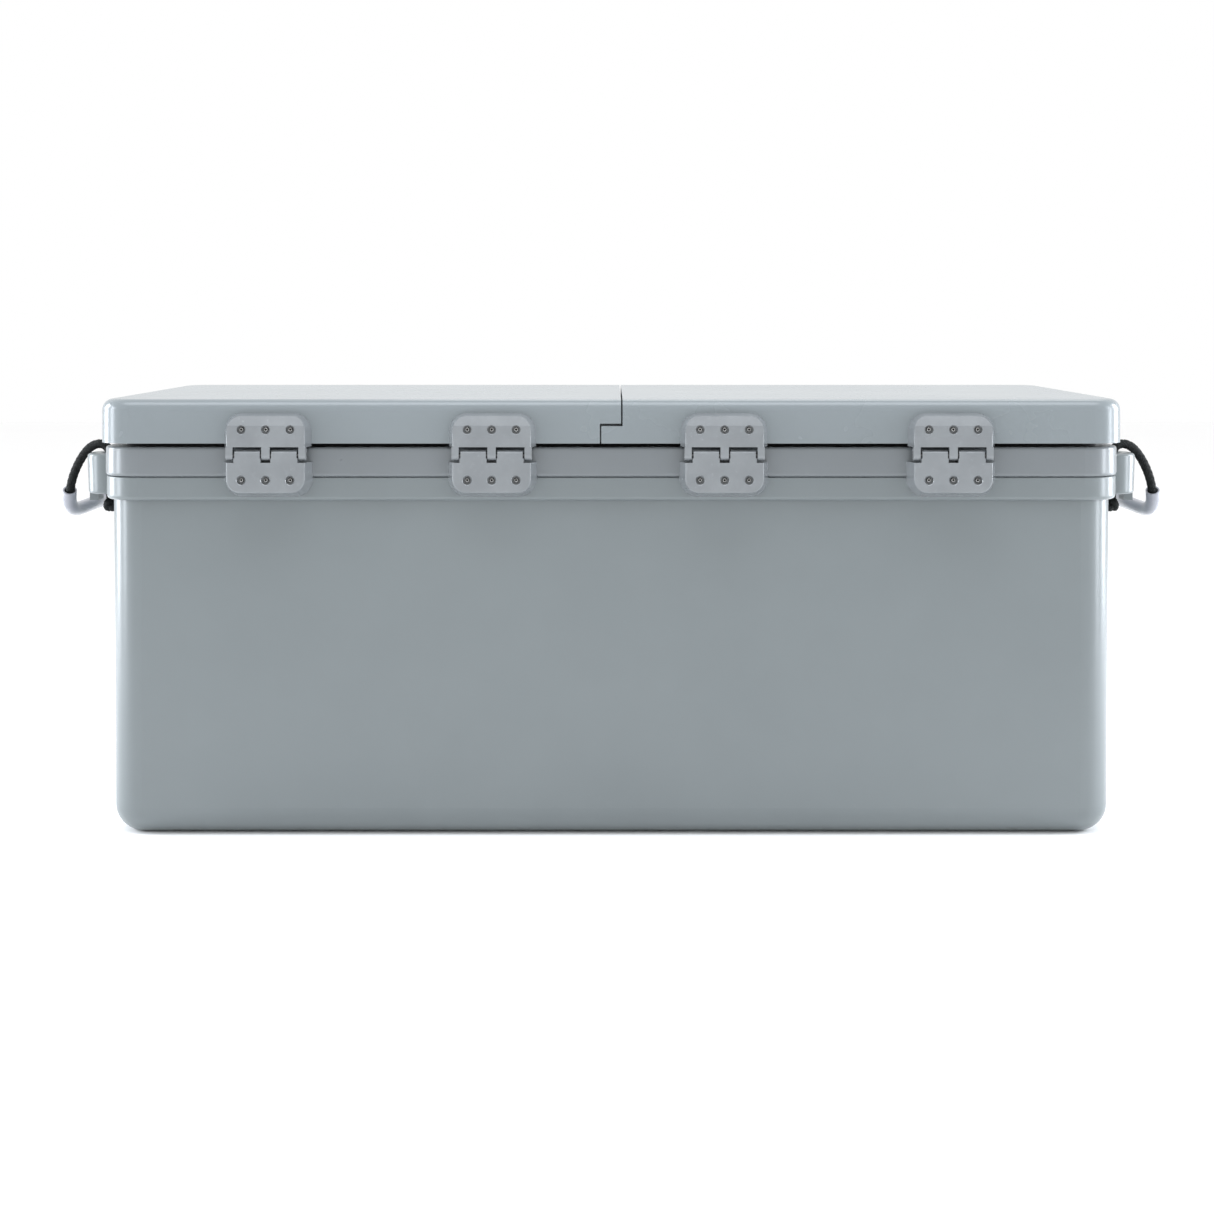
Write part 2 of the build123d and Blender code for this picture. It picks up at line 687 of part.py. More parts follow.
def handle_lug(side, end):
    """Moulded lug at a tub end, with a bore for the rope."""
    wall = NECK_HALF_LENGTH + UPPER_BAND_STEP
    lower_wall = NECK_HALF_LENGTH + LOWER_BAND_STEP
    middle_y = end * LUG_Y
    with BuildPart() as lug:
        with BuildSketch(Plane.XY.offset(LUG_HIGH)) as plan:
            with Locations((wall, middle_y)):
                RectangleRounded(2 * LUG_REACH, 2 * LUG_HALF_WIDTH, 26)
        extrude(plan.sketch, amount=LUG_LOW - LUG_HIGH, taper=2.0)
        fillet(lug.faces().sort_by(Axis.Z)[-1].edges(), 3.5)
        fillet(lug.faces().sort_by(Axis.Z)[0].edges(), 3.0)
        block((562, 571.5), (middle_y - 13, middle_y + 13), (349.3, 361.3))
        block((480, wall), (middle_y - 50, middle_y + 50), (340, 420), mode=Mode.SUBTRACT)
        band_zs = (LUG_LOW + 3, LOWER_BAND[1] - 2.5)
        block((lower_wall, wall), (middle_y - 32, middle_y + 32), band_zs)
        with BuildSketch(Plane.XY.offset(345)) as bore:
            with Locations((ROPE_X, middle_y)):
                Circle(ROPE_BORE)
        extrude(bore.sketch, amount=60, mode=Mode.SUBTRACT)
        with Locations((ROPE_X, middle_y, LUG_HIGH - 2.75)):
            Cone(ROPE_BORE, ROPE_BORE + 5, 5.5, mode=Mode.SUBTRACT)
        if side < 0:
            mirror(about=Plane.YZ, mode=Mode.REPLACE)
    return lug


def rope_knots(side):
    """Stopper knots below the lugs with the rope that fills each bore."""
    with BuildPart() as knots:
        for end in (-1, 1):
            with Locations((side * (ROPE_X - 2.5), end * LUG_Y, KNOT_Z)):
                Sphere(8.0)
            with Locations((side * (ROPE_X - 2.5), end * LUG_Y + 2, KNOT_Z - 3.5)):
                Sphere(7.4)
            with BuildSketch(Plane.XY.offset(KNOT_Z)) as stub:
                with Locations((side * ROPE_X, end * LUG_Y)):
                    Circle(ROPE_R)
            extrude(stub.sketch, amount=STUB_TOP - KNOT_Z)
    return knots


SIDES = {"left": -1, "right": 1}
ENDS = {"front": -1, "rear": 1}
for side_name, side in SIDES.items():
    for end_name, end in ENDS.items():
        save(handle_lug(side, end), f"{side_name}_{end_name}_handle_lug")
    save(rope_knots(side), f"{side_name}_rope_knots")

    route = whole_route(side)
    rope_tube, rope_length = tube(route, ROPE_R)
    with BuildPart() as rope:
        add(rope_tube)
        with Locations(route[0], route[-1]):
            Sphere(ROPE_R)
    save(rope, f"{side_name}_handle_rope")

    grip_route = whole_route(side, GRIP_START)
    grip_tube, grip_length = tube(grip_route, GRIP_OUTER)
    grip_bore, _ = tube(grip_route, GRIP_INNER)
    with BuildPart() as grip:
        add(grip_tube)
        add(grip_bore, mode=Mode.SUBTRACT)
    save(grip, f"{side_name}_handle_grip")

    section = math.pi * ROPE_R**2
    print(side_name, "rope length", round(rope_length, 1), "grip length", round(grip_length, 1))
    print("rope volume over section times length", rope_tube.volume / (section * rope_length))
    print("rope bend radii", [round(r, 1) for r in corner_radii(route)])
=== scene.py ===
import json
import math

import bmesh
import bpy
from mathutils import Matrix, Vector


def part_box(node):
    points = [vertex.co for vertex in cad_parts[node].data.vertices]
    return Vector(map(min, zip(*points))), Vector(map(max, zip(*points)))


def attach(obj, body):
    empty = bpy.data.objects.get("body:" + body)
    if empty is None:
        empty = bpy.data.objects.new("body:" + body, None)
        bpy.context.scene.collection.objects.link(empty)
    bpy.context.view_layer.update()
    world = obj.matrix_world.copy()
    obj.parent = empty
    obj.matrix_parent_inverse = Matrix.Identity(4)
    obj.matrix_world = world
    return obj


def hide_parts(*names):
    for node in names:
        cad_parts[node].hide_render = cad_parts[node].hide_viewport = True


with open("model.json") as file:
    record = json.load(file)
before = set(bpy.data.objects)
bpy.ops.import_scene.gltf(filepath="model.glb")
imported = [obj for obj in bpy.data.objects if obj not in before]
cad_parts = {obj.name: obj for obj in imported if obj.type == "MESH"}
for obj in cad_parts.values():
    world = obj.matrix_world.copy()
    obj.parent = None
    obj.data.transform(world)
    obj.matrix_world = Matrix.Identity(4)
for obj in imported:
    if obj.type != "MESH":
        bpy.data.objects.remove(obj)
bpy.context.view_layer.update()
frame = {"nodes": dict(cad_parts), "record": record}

NODES = frame["nodes"]

# Camera ---------------------------------------------------------------------------------
# A level lens behind the box: the framing is lowered with shift, so uprights stay upright.
REAR_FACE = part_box("right_lid_shell")[1].y
EYE_DISTANCE = 2.40
EYE_HEIGHT = 0.5533
LENS_LENGTH = 67.56
SHIFT_ACROSS = -0.00346
SHIFT_DOWN = -0.24135

lens = bpy.data.cameras.new("rear_camera")
lens.sensor_width = 36.0
lens.lens = LENS_LENGTH
lens.shift_x = SHIFT_ACROSS
lens.shift_y = SHIFT_DOWN
camera = bpy.data.objects.new("rear_camera", lens)
camera.location = (0.0, REAR_FACE + EYE_DISTANCE, EYE_HEIGHT)
camera.rotation_euler = (math.radians(90), 0.0, math.radians(180))
bpy.context.scene.collection.objects.link(camera)
bpy.context.scene.camera = camera
bpy.context.scene.view_settings.view_transform = "Standard"


# Shader writing -------------------------------------------------------------------------
MIX_FIRST_COLOUR = 6
MIX_SECOND_COLOUR = 7
MIX_COLOUR_RESULT = 2


class Field:
    """A value that varies over a surface, with ordinary arithmetic."""

    def __init__(self, tree, socket):
        self.tree = tree
        self.socket = socket

    def _math(self, operation, left, right):
        node = self.tree.nodes.new("ShaderNodeMath")
        node.operation = operation
        for socket, value in zip(node.inputs, (left, right)):
            if isinstance(value, Field):
                self.tree.links.new(value.socket, socket)
            else:
                socket.default_value = value
        return Field(self.tree, node.outputs[0])

    def __add__(self, other):
        return self._math("ADD", self, other)

    def __mul__(self, other):
        return self._math("MULTIPLY", self, other)


class Finish:
    """One procedural material, built round a single Principled shader."""

    def __init__(self, name, roughness, metallic=0.0, **constants):
        self.material = bpy.data.materials.new(name)
        self.material.use_nodes = True
        self.tree = self.material.node_tree
        self.shader = self.tree.nodes["Principled BSDF"]
        self.shader.inputs["Roughness"].default_value = roughness
        self.shader.inputs["Metallic"].default_value = metallic
        for socket, value in constants.items():
            self.shader.inputs[socket.replace("_", " ")].default_value = value
        self.place = self.node("ShaderNodeTexCoord", output="Object")

    def node(self, kind, settings=None, sockets=None, output=0):
        """Any other node: its settings first, then the values or links of its sockets."""
        made = self.tree.nodes.new(kind)
        for key, value in (settings or {}).items():
            setattr(made, key, value)
        for key, value in (sockets or {}).items():
            if isinstance(value, Field):
                self.tree.links.new(value.socket, made.inputs[key])
            else:
                made.inputs[key].default_value = value
        return Field(self.tree, made.outputs[output])

    def stretched(self, scale):
        """The object's coordinates, scaled unevenly in X, Y and Z."""
        return self.node("ShaderNodeMapping", None, {"Vector": self.place, "Scale": scale})

    def noise(self, scale, detail=3.0, roughness=0.5, vector=None):
        return self.node(
            "ShaderNodeTexNoise",
            None,
            {
                "Vector": vector or self.place,
                "Scale": scale,
                "Detail": detail,
                "Roughness": roughness,
            },
            "Fac",
        )

    def band(self, field, low, high):
        """Soft step of a field from 0 at low to 1 at high."""
        sockets = {"Value": field, "From Min": low, "From Max": high}
        return self.node("ShaderNodeMapRange", {"interpolation_type": "SMOOTHSTEP"}, sockets)

    def tint(self, factor, first, second):
        """Colour that runs from first to second with the factor."""
        return self.node(
            "ShaderNodeMix",
            {"data_type": "RGBA"},
            {
                "Factor": factor,
                MIX_FIRST_COLOUR: colour_value(first),
                MIX_SECOND_COLOUR: colour_value(second),
            },
            MIX_COLOUR_RESULT,
        )

    def bump(self, height, distance, strength=1.0, under=None):
        sockets = {"Height": height, "Distance": distance, "Strength": strength}
        if under is not None:
            sockets["Normal"] = under
        return self.node("ShaderNodeBump", None, sockets)

    def wear(self, **inputs):
        """Feed the shader's varying inputs and hand back the material."""
        for name, field in inputs.items():
            self.tree.links.new(field.socket, self.shader.inputs[name.replace("_", " ")])
        return self.material


def colour_value(value):
    """A colour socket's value: a field as it is, or three numbers with full alpha."""
    return value if isinstance(value, Field) else (*value, 1.0)


# Finishes -------------------------------------------------------------------------------
def moulded_gloss(name, pale, deep, roughness=0.31):
    """Gloss moulding: faint orange peel, slow ripple, tonal patches and a dusty grain."""
    finish = Finish(name, roughness, Coat_Weight=0.3, Coat_Roughness=0.22)
    cloud = finish.noise(2.2, 4.0, 0.55)
    patch = finish.noise(11.0, 3.0, 0.5)
    speck = finish.noise(900, 2.0, 0.6)
    mixed = finish.band(cloud, 0.25, 0.75) * 0.55 + finish.band(patch, 0.3, 0.7) * 0.2 + speck * 0.2
    colour = finish.tint(mixed, deep, pale)
    ripple = finish.noise(5.0, 2.0, 0.4)
    peel = finish.noise(210, 2.0, 0.5)
    fine = finish.noise(1400, 1.0, 0.5)
    normal = finish.bump(ripple, 0.0012, 0.35)
    normal = finish.bump(peel, 0.00005, 0.5, normal)
    normal = finish.bump(fine, 0.00001, 0.4, normal)
    rough = finish.noise(6.0, 4.0, 0.6) * 0.08 + (roughness - 0.05)
    return finish.wear(Base_Color=colour, Roughness=rough, Normal=normal)


def moulded_leaf(name, pale, deep):
    """Injection moulded hinge plastic, semi gloss with a fine grain and rubbed patches."""
    finish = Finish(name, 0.24, Coat_Weight=0.5, Coat_Roughness=0.1)
    cloud = finish.noise(30, 3.0, 0.5)
    rub = finish.band(finish.noise(160, 5.0, 0.65), 0.52, 0.7)
    colour = finish.tint(finish.band(cloud, 0.3, 0.7) * 0.7 + rub * 0.3, deep, pale)
    normal = finish.bump(finish.noise(1500, 2.0, 0.5), 0.000006, 0.4)
    normal = finish.bump(finish.noise(120, 2.0, 0.5), 0.00004, 0.35, normal)
    rough = finish.noise(300, 3.0, 0.5) * 0.06 + rub * 0.04 + 0.20
    return finish.wear(Base_Color=colour, Roughness=rough, Normal=normal)


def turned_steel(name, colour, dull, crown=None):
    """Stainless hardware: turned streaks, grime in patches, and painted shade below the crown of a
    screw.
    """
    finish = Finish(name, 0.3, 1.0)
    streak = finish.noise(8.0, 4.0, 0.6, finish.stretched((900, 60, 900)))
    grime = finish.band(finish.noise(420, 4.0, 0.6), 0.5, 0.72)
    tone = finish.tint(grime * 0.6 + streak * 0.25, colour, dull)
    # Painted shade: below its crown the head and socket are coloured near black, standing in for the
    # shade inside the counterbore and the socket.
    if crown is not None:
        depth = finish.node("ShaderNodeSeparateXYZ", None, {"Vector": finish.place}, "Y")
        crown_shade = finish.band(depth, crown - 0.0004, crown - 0.0012)
        tone = finish.tint(crown_shade, tone, (0.015, 0.015, 0.015))
    normal = finish.bump(streak, 0.00002, 0.5)
    return finish.wear(Base_Color=tone, Roughness=streak * 0.15 + grime * 0.2 + 0.2, Normal=normal)


def soft_rubber(name):
    """Black closed-cell strip with pores and pale bloom."""
    finish = Finish(name, 0.8)
    pore = finish.node(
        "ShaderNodeTexVoronoi", None, {"Vector": finish.place, "Scale": 900.0}, "Distance"
    )
    bloom = finish.band(finish.noise(60, 4.0, 0.6), 0.45, 0.75)
    colour = finish.tint(bloom * 0.6, (0.008, 0.008, 0.009), (0.03, 0.03, 0.032))
    normal = finish.bump(pore, 0.00015, 0.6)
    return finish.wear(Base_Color=colour, Roughness=bloom * 0.15 + 0.68, Normal=normal)


def braid_yarn(name):
    """Black rope yarn: fine filaments along the strand and a few pale flecks of fray."""
    finish = Finish(name, 0.62, Specular_IOR_Level=0.25)
    fibre = finish.noise(2600, 3.0, 0.6)
    fray = finish.band(finish.noise(700, 4.0, 0.7), 0.64, 0.74)
    dust = finish.band(finish.noise(90, 3.0, 0.6), 0.4, 0.8)
    black = finish.tint(dust, (0.002, 0.003, 0.003), (0.008, 0.010, 0.009))
    colour = finish.tint(fray, black, (0.16, 0.17, 0.155))
    normal = finish.bump(fibre, 0.00012, 0.8)
    return finish.wear(Base_Color=colour, Roughness=fibre * 0.2 + 0.6, Normal=normal)


def grip_tube(name):
    """Semi-rigid plastic hose of the grip: milky, with drawn lines and scuffs."""
    finish = Finish(name, 0.34, Coat_Weight=0.2, Coat_Roughness=0.25)
    cloud = finish.noise(45, 3.0, 0.5)
    scuff = finish.band(finish.noise(240, 6.0, 0.7), 0.56, 0.7)
    colour = finish.tint(cloud * 0.7 + scuff * 0.3, (0.23, 0.235, 0.265), (0.36, 0.37, 0.41))
    normal = finish.bump(finish.noise(900, 2.0, 0.5), 0.00004, 0.5)
    return finish.wear(Base_Color=colour, Roughness=scuff * 0.2 + cloud * 0.1 + 0.24, Normal=normal)


def plain_moulding(name, pale, deep, roughness, grain):
    """Simple moulded plastic with a grain of its own size."""
    finish = Finish(name, roughness)
    cloud = finish.noise(12, 4.0, 0.55)
    colour = finish.tint(finish.band(cloud, 0.3, 0.7), deep, pale)
    normal = finish.bump(finish.noise(grain, 3.0, 0.55), 0.00008, 0.6)
    return finish.wear(Base_Color=colour, Roughness=cloud * 0.15 + (roughness - 0.07), Normal=normal)


TUB_GREY = moulded_gloss("tub_gloss", (0.158, 0.180, 0.186), (0.136, 0.156, 0.162))
LID_GREY = moulded_gloss("lid_gloss", (0.200, 0.228, 0.240), (0.176, 0.201, 0.213), 0.28)
# The rim band wears a copy of the gelcoat a touch darker than the tub's: painted shade on the band.
SHADED_RIM_GREY = moulded_gloss("rim_gloss_shaded", (0.160, 0.176, 0.186), (0.138, 0.153, 0.162), 0.30)
LEAF_GREY = moulded_leaf("hinge_plastic", (0.205, 0.220, 0.230), (0.170, 0.183, 0.193))
STEEL = turned_steel("screw_steel", (0.50, 0.50, 0.49), (0.10, 0.10, 0.10))
RUBBER = soft_rubber("seal_rubber")
YARN = braid_yarn("rope_yarn")
GRIP = grip_tube("grip_hose")
LINER = plain_moulding("panel_white", (0.78, 0.80, 0.79), (0.68, 0.70, 0.69), 0.35, 400)
FOAM = plain_moulding("core_foam", (0.80, 0.72, 0.50), (0.66, 0.57, 0.36), 0.85, 700)
# Hinge screws wear the steel with painted shade, near black below the crown of each head.
HINGE_SCREW = turned_steel(
    "hinge_screw_steel",
    (0.50, 0.50, 0.49),
    (0.10, 0.10, 0.10),
    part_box("tub_hinge_screws")[1].y,
)
PIN_STEEL = turned_steel("pin_steel", (0.10, 0.10, 0.10), (0.03, 0.03, 0.03))
ALLOY = turned_steel("backing_alloy", (0.75, 0.76, 0.77), (0.45, 0.46, 0.47))
DRAIN = plain_moulding("drain_plastic", (0.035, 0.035, 0.038), (0.018, 0.018, 0.02), 0.45, 900)

SLOT_FINISH = {
    "gelcoat": TUB_GREY,
    "liner": LINER,
    "foam": FOAM,
    "hinge_plastic": LEAF_GREY,
    "steel": STEEL,
    "backing": ALLOY,
    "gasket": RUBBER,
    "rope": YARN,
    "grip_plastic": GRIP,
    "drain_plastic": DRAIN,
}
OWN_FINISH = {
    "left_lid_shell": LID_GREY,
    "right_lid_shell": LID_GREY,
    "tub_liner": SHADED_RIM_GREY,
    "hinge_pins": PIN_STEEL,
}
for part in frame["record"]["subparts"]:
    node = NODES[part["node"]]
    finish = OWN_FINISH.get(part["node"], SLOT_FINISH[part["material_slot"]])
    node.data.materials.clear()
    node.data.materials.append(finish)


# Mesh helpers ---------------------------------------------------------------------------
def new_piece(name, points, faces, material, smooth=True):
    mesh = bpy.data.meshes.new(name)
    mesh.from_pydata([tuple(p) for p in points], [], faces)
    mesh.materials.append(material)
    mesh.validate()
    if smooth:
        mesh.shade_smooth()
    piece = bpy.data.objects.new(name, mesh)
    bpy.context.scene.collection.objects.link(piece)
    return piece


def centreline(route):
    """Smooth line through a rope's route: points of its NURBS spline."""
    curve = bpy.data.curves.new("route", "CURVE")
    curve.dimensions = "3D"
    curve.resolution_u = 14
    spline = curve.splines.new("NURBS")
    spline.points.add(len(route) - 1)
    for point, place in zip(spline.points, route):
        point.co = (*place, 1.0)
    spline.order_u = 3
    spline.use_endpoint_u = True
    holder = bpy.data.objects.new("route", curve)
    mesh = bpy.data.meshes.new_from_object(holder)
    line = [v.co.copy() for v in mesh.vertices]
    bpy.data.objects.remove(holder)
    bpy.data.meshes.remove(mesh)
    return line


def evenly(line, step):
    """The same line with evenly spaced points."""
    lengths = [0.0]
    for a, b in zip(line, line[1:]):
        lengths.append(lengths[-1] + (b - a).length)
    count = max(2, round(lengths[-1] / step))
    made, at = [], 0
    for i in range(count + 1):
        goal = lengths[-1] * i / count
        while at < len(line) - 2 and lengths[at + 1] < goal:
            at += 1
        span = lengths[at + 1] - lengths[at]
        share = (goal - lengths[at]) / span if span else 0.0
        made.append(line[at].lerp(line[at + 1], min(1.0, share)))
    return made, lengths[-1]


def frames_along(line):
    """Two cross directions at each point, carried along without twist."""
    tangents = []
    for i in range(len(line)):
        tangents.append((line[min(i + 1, len(line) - 1)] - line[max(i - 1, 0)]).normalized())
    side = tangents[0].orthogonal().normalized()
    frames = []
    for tangent in tangents:
        side = (side - tangent * side.dot(tangent)).normalized()
        frames.append((side, tangent.cross(side)))
    return frames


STRANDS = 8
BRAID_PITCH = 0.030
STRAND_SIDES = 6


def braid(name, line, radius, material):
    """Braided rope round a line: strands in both hands weave over and under a core."""
    points, faces = [], []
    line, length = evenly(line, 0.0013)
    frames = frames_along(line)

    def ring(centre, first, second, width, height, sides):
        start = len(points)
        for k in range(sides):
            angle = math.tau * k / sides
            offset = first * (math.cos(angle) * width) + second * (math.sin(angle) * height)
            points.append(centre + offset)
        return start

    def skin(rings, sides):
        for a, b in zip(rings, rings[1:]):
            for k in range(sides):
                nxt = (k + 1) % sides
                faces.append((a + k, a + nxt, b + nxt, b + k))
        faces.append(tuple(rings[0] + k for k in reversed(range(sides))))
        faces.append(tuple(rings[-1] + k for k in range(sides)))

    core = radius * 0.78
    core_rings = [ring(c, f[0], f[1], core, core, 16) for c, f in zip(line, frames)]
    skin(core_rings, 16)
    width = math.pi * radius / STRANDS * 0.80
    height = radius * 0.15
    for hand in (-1, 1):
        for strand in range(STRANDS):
            rings = []
            for i, (centre, (side, up)) in enumerate(zip(line, frames)):
                along = length * i / (len(line) - 1)
                turn = hand * math.tau * (along / BRAID_PITCH) + math.tau * strand / STRANDS
                weave = math.cos(STRANDS * along / BRAID_PITCH * math.tau + math.pi * strand)
                lift = radius - height * 1.3 + hand * weave * height * 0.55
                out = side * math.cos(turn) + up * math.sin(turn)
                around = up * math.cos(turn) - side * math.sin(turn)
                rings.append(ring(centre + out * lift, around, out, width, height, STRAND_SIDES))
            skin(rings, STRAND_SIDES)
    piece = new_piece(name, points, faces, material)
    fix = bmesh.new()
    fix.from_mesh(piece.data)
    bmesh.ops.recalc_face_normals(fix, faces=fix.faces)
    fix.to_mesh(piece.data)
    fix.free()
    return piece, line


# Screws ---------------------------------------------------------------------------------
SIDES_ROUND = 36
HEX_CORNER = math.radians(60)
RANDOM_MAXIMUM = 3
RANDOM_NUMBER = 1


def hexagon(half_width):
    """Radius of a hexagonal socket at each angle."""
    return lambda angle: half_width / math.cos(angle % HEX_CORNER - HEX_CORNER / 2)


def screw_mesh(name, radius, height, shank_radius, shank_length):
    """Button head screw with a hexagonal socket, standing on its seat along Z."""
    socket = hexagon(radius * 0.46)
    rings = [
        (shank_radius * 0.6, -shank_length),
        (shank_radius, -shank_length + shank_radius * 0.5),
        (shank_radius, 0.0),
        (radius, 0.0),
        (radius, height * 0.42),
        (radius * 0.97, height * 0.62),
        (radius * 0.87, height * 0.82),
        (radius * 0.72, height * 0.95),
        (radius * 0.62, height),
        (socket, height),
        (socket, height * 0.3),
    ]
    angles = [math.tau * k / SIDES_ROUND for k in range(SIDES_ROUND)]
    points, faces = [(0.0, 0.0, -shank_length)], []
    for size, z in rings:
        for angle in angles:
            reach = size(angle) if callable(size) else size
            points.append((reach * math.cos(angle), reach * math.sin(angle), z))
    points.append((0.0, 0.0, height * 0.2))
    last = len(points) - 1
    for k in range(SIDES_ROUND):
        following = (k + 1) % SIDES_ROUND
        faces.append((0, 1 + following, 1 + k))
        for row in range(len(rings) - 1):
            low = 1 + row * SIDES_ROUND
            high = low + SIDES_ROUND
            faces.append((low + k, low + following, high + following, high + k))
        top = 1 + (len(rings) - 1) * SIDES_ROUND
        faces.append((top + k, top + following, last))
    mesh = bpy.data.meshes.new(name)
    mesh.from_pydata(points, [], faces)
    mesh.shade_smooth()
    mesh.set_sharp_from_angle(angle=math.radians(40))
    return mesh


def screw_tree(material):
    """Nodes that stand one screw on each point, each turned by its own amount."""
    tree = bpy.data.node_groups.new("screw_places", "GeometryNodeTree")
    wires = tree.interface
    wires.new_socket("Places", in_out="INPUT", socket_type="NodeSocketGeometry")
    wires.new_socket("Screw", in_out="INPUT", socket_type="NodeSocketObject")
    wires.new_socket("Tilt", in_out="INPUT", socket_type="NodeSocketFloat")
    wires.new_socket("Scale", in_out="INPUT", socket_type="NodeSocketFloat")
    wires.new_socket("Seed", in_out="INPUT", socket_type="NodeSocketInt")
    wires.new_socket("Screws", in_out="OUTPUT", socket_type="NodeSocketGeometry")
    add, link = tree.nodes.new, tree.links.new
    given = add("NodeGroupInput")
    result = add("NodeGroupOutput")
    source = add("GeometryNodeObjectInfo")
    stand = add("GeometryNodeInstanceOnPoints")
    tilt = add("ShaderNodeCombineXYZ")
    spin = add("FunctionNodeRandomValue")
    around = add("ShaderNodeCombineXYZ")
    turn = add("GeometryNodeRotateInstances")
    real = add("GeometryNodeRealizeInstances")
    paint = add("GeometryNodeSetMaterial")
    spin.data_type = "FLOAT"
    spin.inputs[RANDOM_MAXIMUM].default_value = math.tau
    paint.inputs["Material"].default_value = material
    link(given.outputs["Screw"], source.inputs["Object"])
    link(given.outputs["Places"], stand.inputs["Points"])
    link(source.outputs["Geometry"], stand.inputs["Instance"])
    link(given.outputs["Tilt"], tilt.inputs["X"])
    link(tilt.outputs["Vector"], stand.inputs["Rotation"])
    link(given.outputs["Scale"], stand.inputs["Scale"])
    link(given.outputs["Seed"], spin.inputs["Seed"])
    link(spin.outputs[RANDOM_NUMBER], around.inputs["Z"])
    link(stand.outputs["Instances"], turn.inputs["Instances"])
    link(around.outputs["Vector"], turn.inputs["Rotation"])
    link(turn.outputs["Instances"], real.inputs["Geometry"])
    link(real.outputs["Geometry"], paint.inputs["Geometry"])
    link(paint.outputs["Geometry"], result.inputs["Screws"])
    return tree


def screws(tree, name, body, node, mesh, places, tilt, seed):
    """Screws at their places, made by the tree and kept as one plain mesh."""
    pattern = bpy.data.objects.new(name + "_pattern", mesh)
    holder_mesh = bpy.data.meshes.new(name + "_places")
    holder_mesh.from_pydata([tuple(place) for place in places], [], [])
    holder = bpy.data.objects.new(name + "_places", holder_mesh)
    bpy.context.scene.collection.objects.link(holder)
    maker = holder.modifiers.new("screws", "NODES")
    maker.node_group = tree
    values = {"Screw": pattern, "Tilt": tilt, "Scale": 1.0, "Seed": seed}
    for item in tree.interface.items_tree:
        if item.name in values:
            maker[item.identifier] = values[item.name]
    shape = holder.evaluated_get(bpy.context.evaluated_depsgraph_get())
    made = bpy.data.meshes.new_from_object(shape)
    made.name = name
    bpy.data.objects.remove(holder)
    bpy.data.objects.remove(pattern)
    piece = bpy.data.objects.new(name, made)
    bpy.context.scene.collection.objects.link(piece)
    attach(piece, body)
    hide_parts(node)


HEAD_RADIUS = 0.0026
HEAD_HEIGHT = 0.0030
SCREW_PITCH = 0.0256
SHANK_RADIUS = 0.0020
REARWARDS = -math.pi / 2
FORWARDS = math.pi / 2


def leaf_places(leaves, node):
    """Seats of the three screws in each leaf."""
    low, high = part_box(node)
    places = []
    for leaf in leaves:
        near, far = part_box(leaf)
        middle = (near.x + far.x) / 2
        for step in (-1, 0, 1):
            x = middle + step * SCREW_PITCH
            places.append(Vector((x, high.y - HEAD_HEIGHT, (low.z + high.z) / 2)))
    return places


low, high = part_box("tub_hinge_screws")
hinge_screw = screw_mesh(
    "hinge_screw", HEAD_RADIUS, HEAD_HEIGHT, SHANK_RADIUS, high.y - low.y - HEAD_HEIGHT
)
HINGE_TREE = screw_tree(HINGE_SCREW)
LID_LEAVES = {"left": ("left_outer", "left_inner"), "right": ("right_inner", "right_outer")}
tub_leaves = [f"{leaf}_hinge_tub_leaf" for pair in LID_LEAVES.values() for leaf in pair]
screws(
    HINGE_TREE,
    "tub_button_screws",
    "tub",
    "tub_hinge_screws",
    hinge_screw,
    leaf_places(tub_leaves, "tub_hinge_screws"),
    REARWARDS,
    3,
)
for number, (side_name, pair) in enumerate(LID_LEAVES.items()):
    node = f"{side_name}_lid_hinge_screws"
    lid_leaves = [f"{leaf}_hinge_lid_leaf" for leaf in pair]
    screws(
        HINGE_TREE,
        f"{side_name}_lid_button_screws",
        f"{side_name}_lid",
        node,
        hinge_screw,
        leaf_places(lid_leaves, node),
        REARWARDS,
        11 + number,
    )

LATCH_HEAD_RADIUS = 0.0032
LATCH_HEAD_HEIGHT = 0.0016
LATCH_TREE = screw_tree(STEEL)
for number, side_name in enumerate(LID_LEAVES):
    low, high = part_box(f"{side_name}_latch_screws")
    latch_screw = screw_mesh(
        f"{side_name}_latch_screw",
        LATCH_HEAD_RADIUS,
        LATCH_HEAD_HEIGHT,
        SHANK_RADIUS,
        high.y - low.y - LATCH_HEAD_HEIGHT,
    )
    rim = LATCH_HEAD_RADIUS
    seat = low.y + LATCH_HEAD_HEIGHT
    corners = [
        Vector((x, seat, z)) for x in (low.x + rim, high.x - rim) for z in (low.z + rim, high.z - rim)
    ]
    screws(
        LATCH_TREE,
        f"{side_name}_latch_button_screws",
        f"{side_name}_lid",
        f"{side_name}_latch_screws",
        latch_screw,
        corners,
        FORWARDS,
        21 + number,
    )

# Rope handles ---------------------------------------------------------------------------
# Half of the right rope's route, from the lug's mouth to beside the middle of the grip.
ROPE_DIAMETER = 0.010
ROPE_ROUTE = [
    (0.5520, 0.1425, 0.3983),
    (0.5529, 0.1421, 0.4029),
    (0.5560, 0.1409, 0.4074),
    (0.5609, 0.1389, 0.4100),
    (0.5674, 0.1361, 0.4102),
    (0.5762, 0.1316, 0.4065),
    (0.5848, 0.1266, 0.3979),
    (0.5926, 0.1212, 0.3863),
    (0.5996, 0.1150, 0.3723),
    (0.6046, 0.1078, 0.3566),
    (0.6074, 0.0984, 0.3432),
    (0.6074, 0.0840, 0.3348),
    (0.6062, 0.0660, 0.3322),
    (0.6038, 0.0400, 0.3328),
    (0.6020, 0.0130, 0.3336),
]


KNOT_MIDDLE = (0.5495, 0.1425, 0.3438)
KNOT_MOUTH = (0.5520, 0.1425, 0.3533)
KNOT_NECK = 0.0060
KNOT_STEPS = 90
KNOT_ROPE_RADIUS = 0.0044


